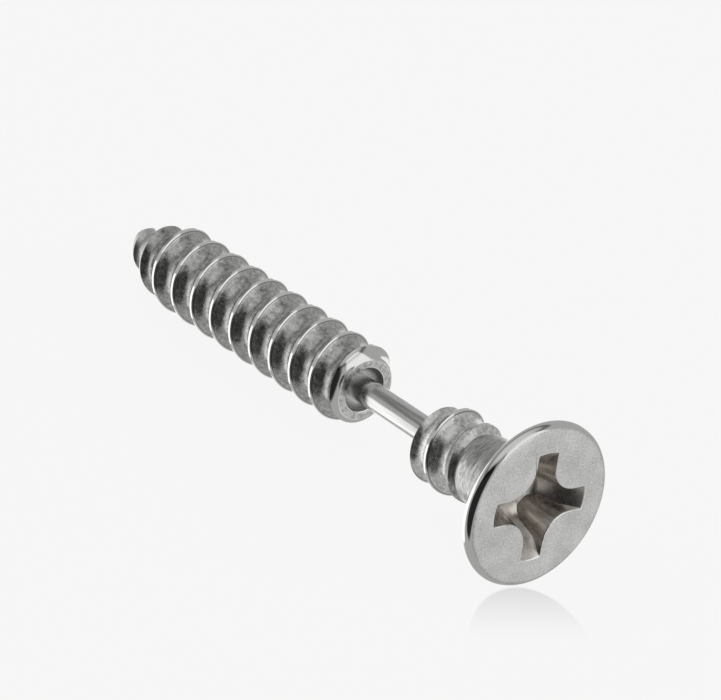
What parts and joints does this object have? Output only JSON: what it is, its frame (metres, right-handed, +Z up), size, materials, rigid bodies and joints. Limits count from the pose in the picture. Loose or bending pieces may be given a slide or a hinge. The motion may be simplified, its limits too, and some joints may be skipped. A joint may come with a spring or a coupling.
{
  "type": "screw earring",
  "caption": "Ear stud that looks like a wood screw through the lobe: a countersunk head with a cross recess, a slim post, and a threaded barrel with a blunt point.",
  "frame": {"origin": "middle of the underside of the box round the stud as it lies on a flat surface", "axes": "+X runs level, from the point of the barrel towards the head; +Z is up from the surface. The stud lies on the rim of its head and on a thread crest near its point, so its own axis rises 4.3 degrees towards the head"},
  "size_m": [0.0292, 0.0076, 0.0076],
  "materials": {
    "head_steel": "satin face, polished rim and countersink",
    "post_steel": "polished",
    "barrel_steel": "tumbled satin, crests polished by wear"
  },
  "bodies": {
    "shank": {"barrel": "barrel_steel", "post": "post_steel"},
    "head": {"screw_head": "head_steel"}
  },
  "joints": [
    {"name": "head_pull", "type": "slide", "parent": "shank", "child": "head", "axis": [0.9972, 0, 0.0753], "range_m": [0, 0.009]}
  ]
}
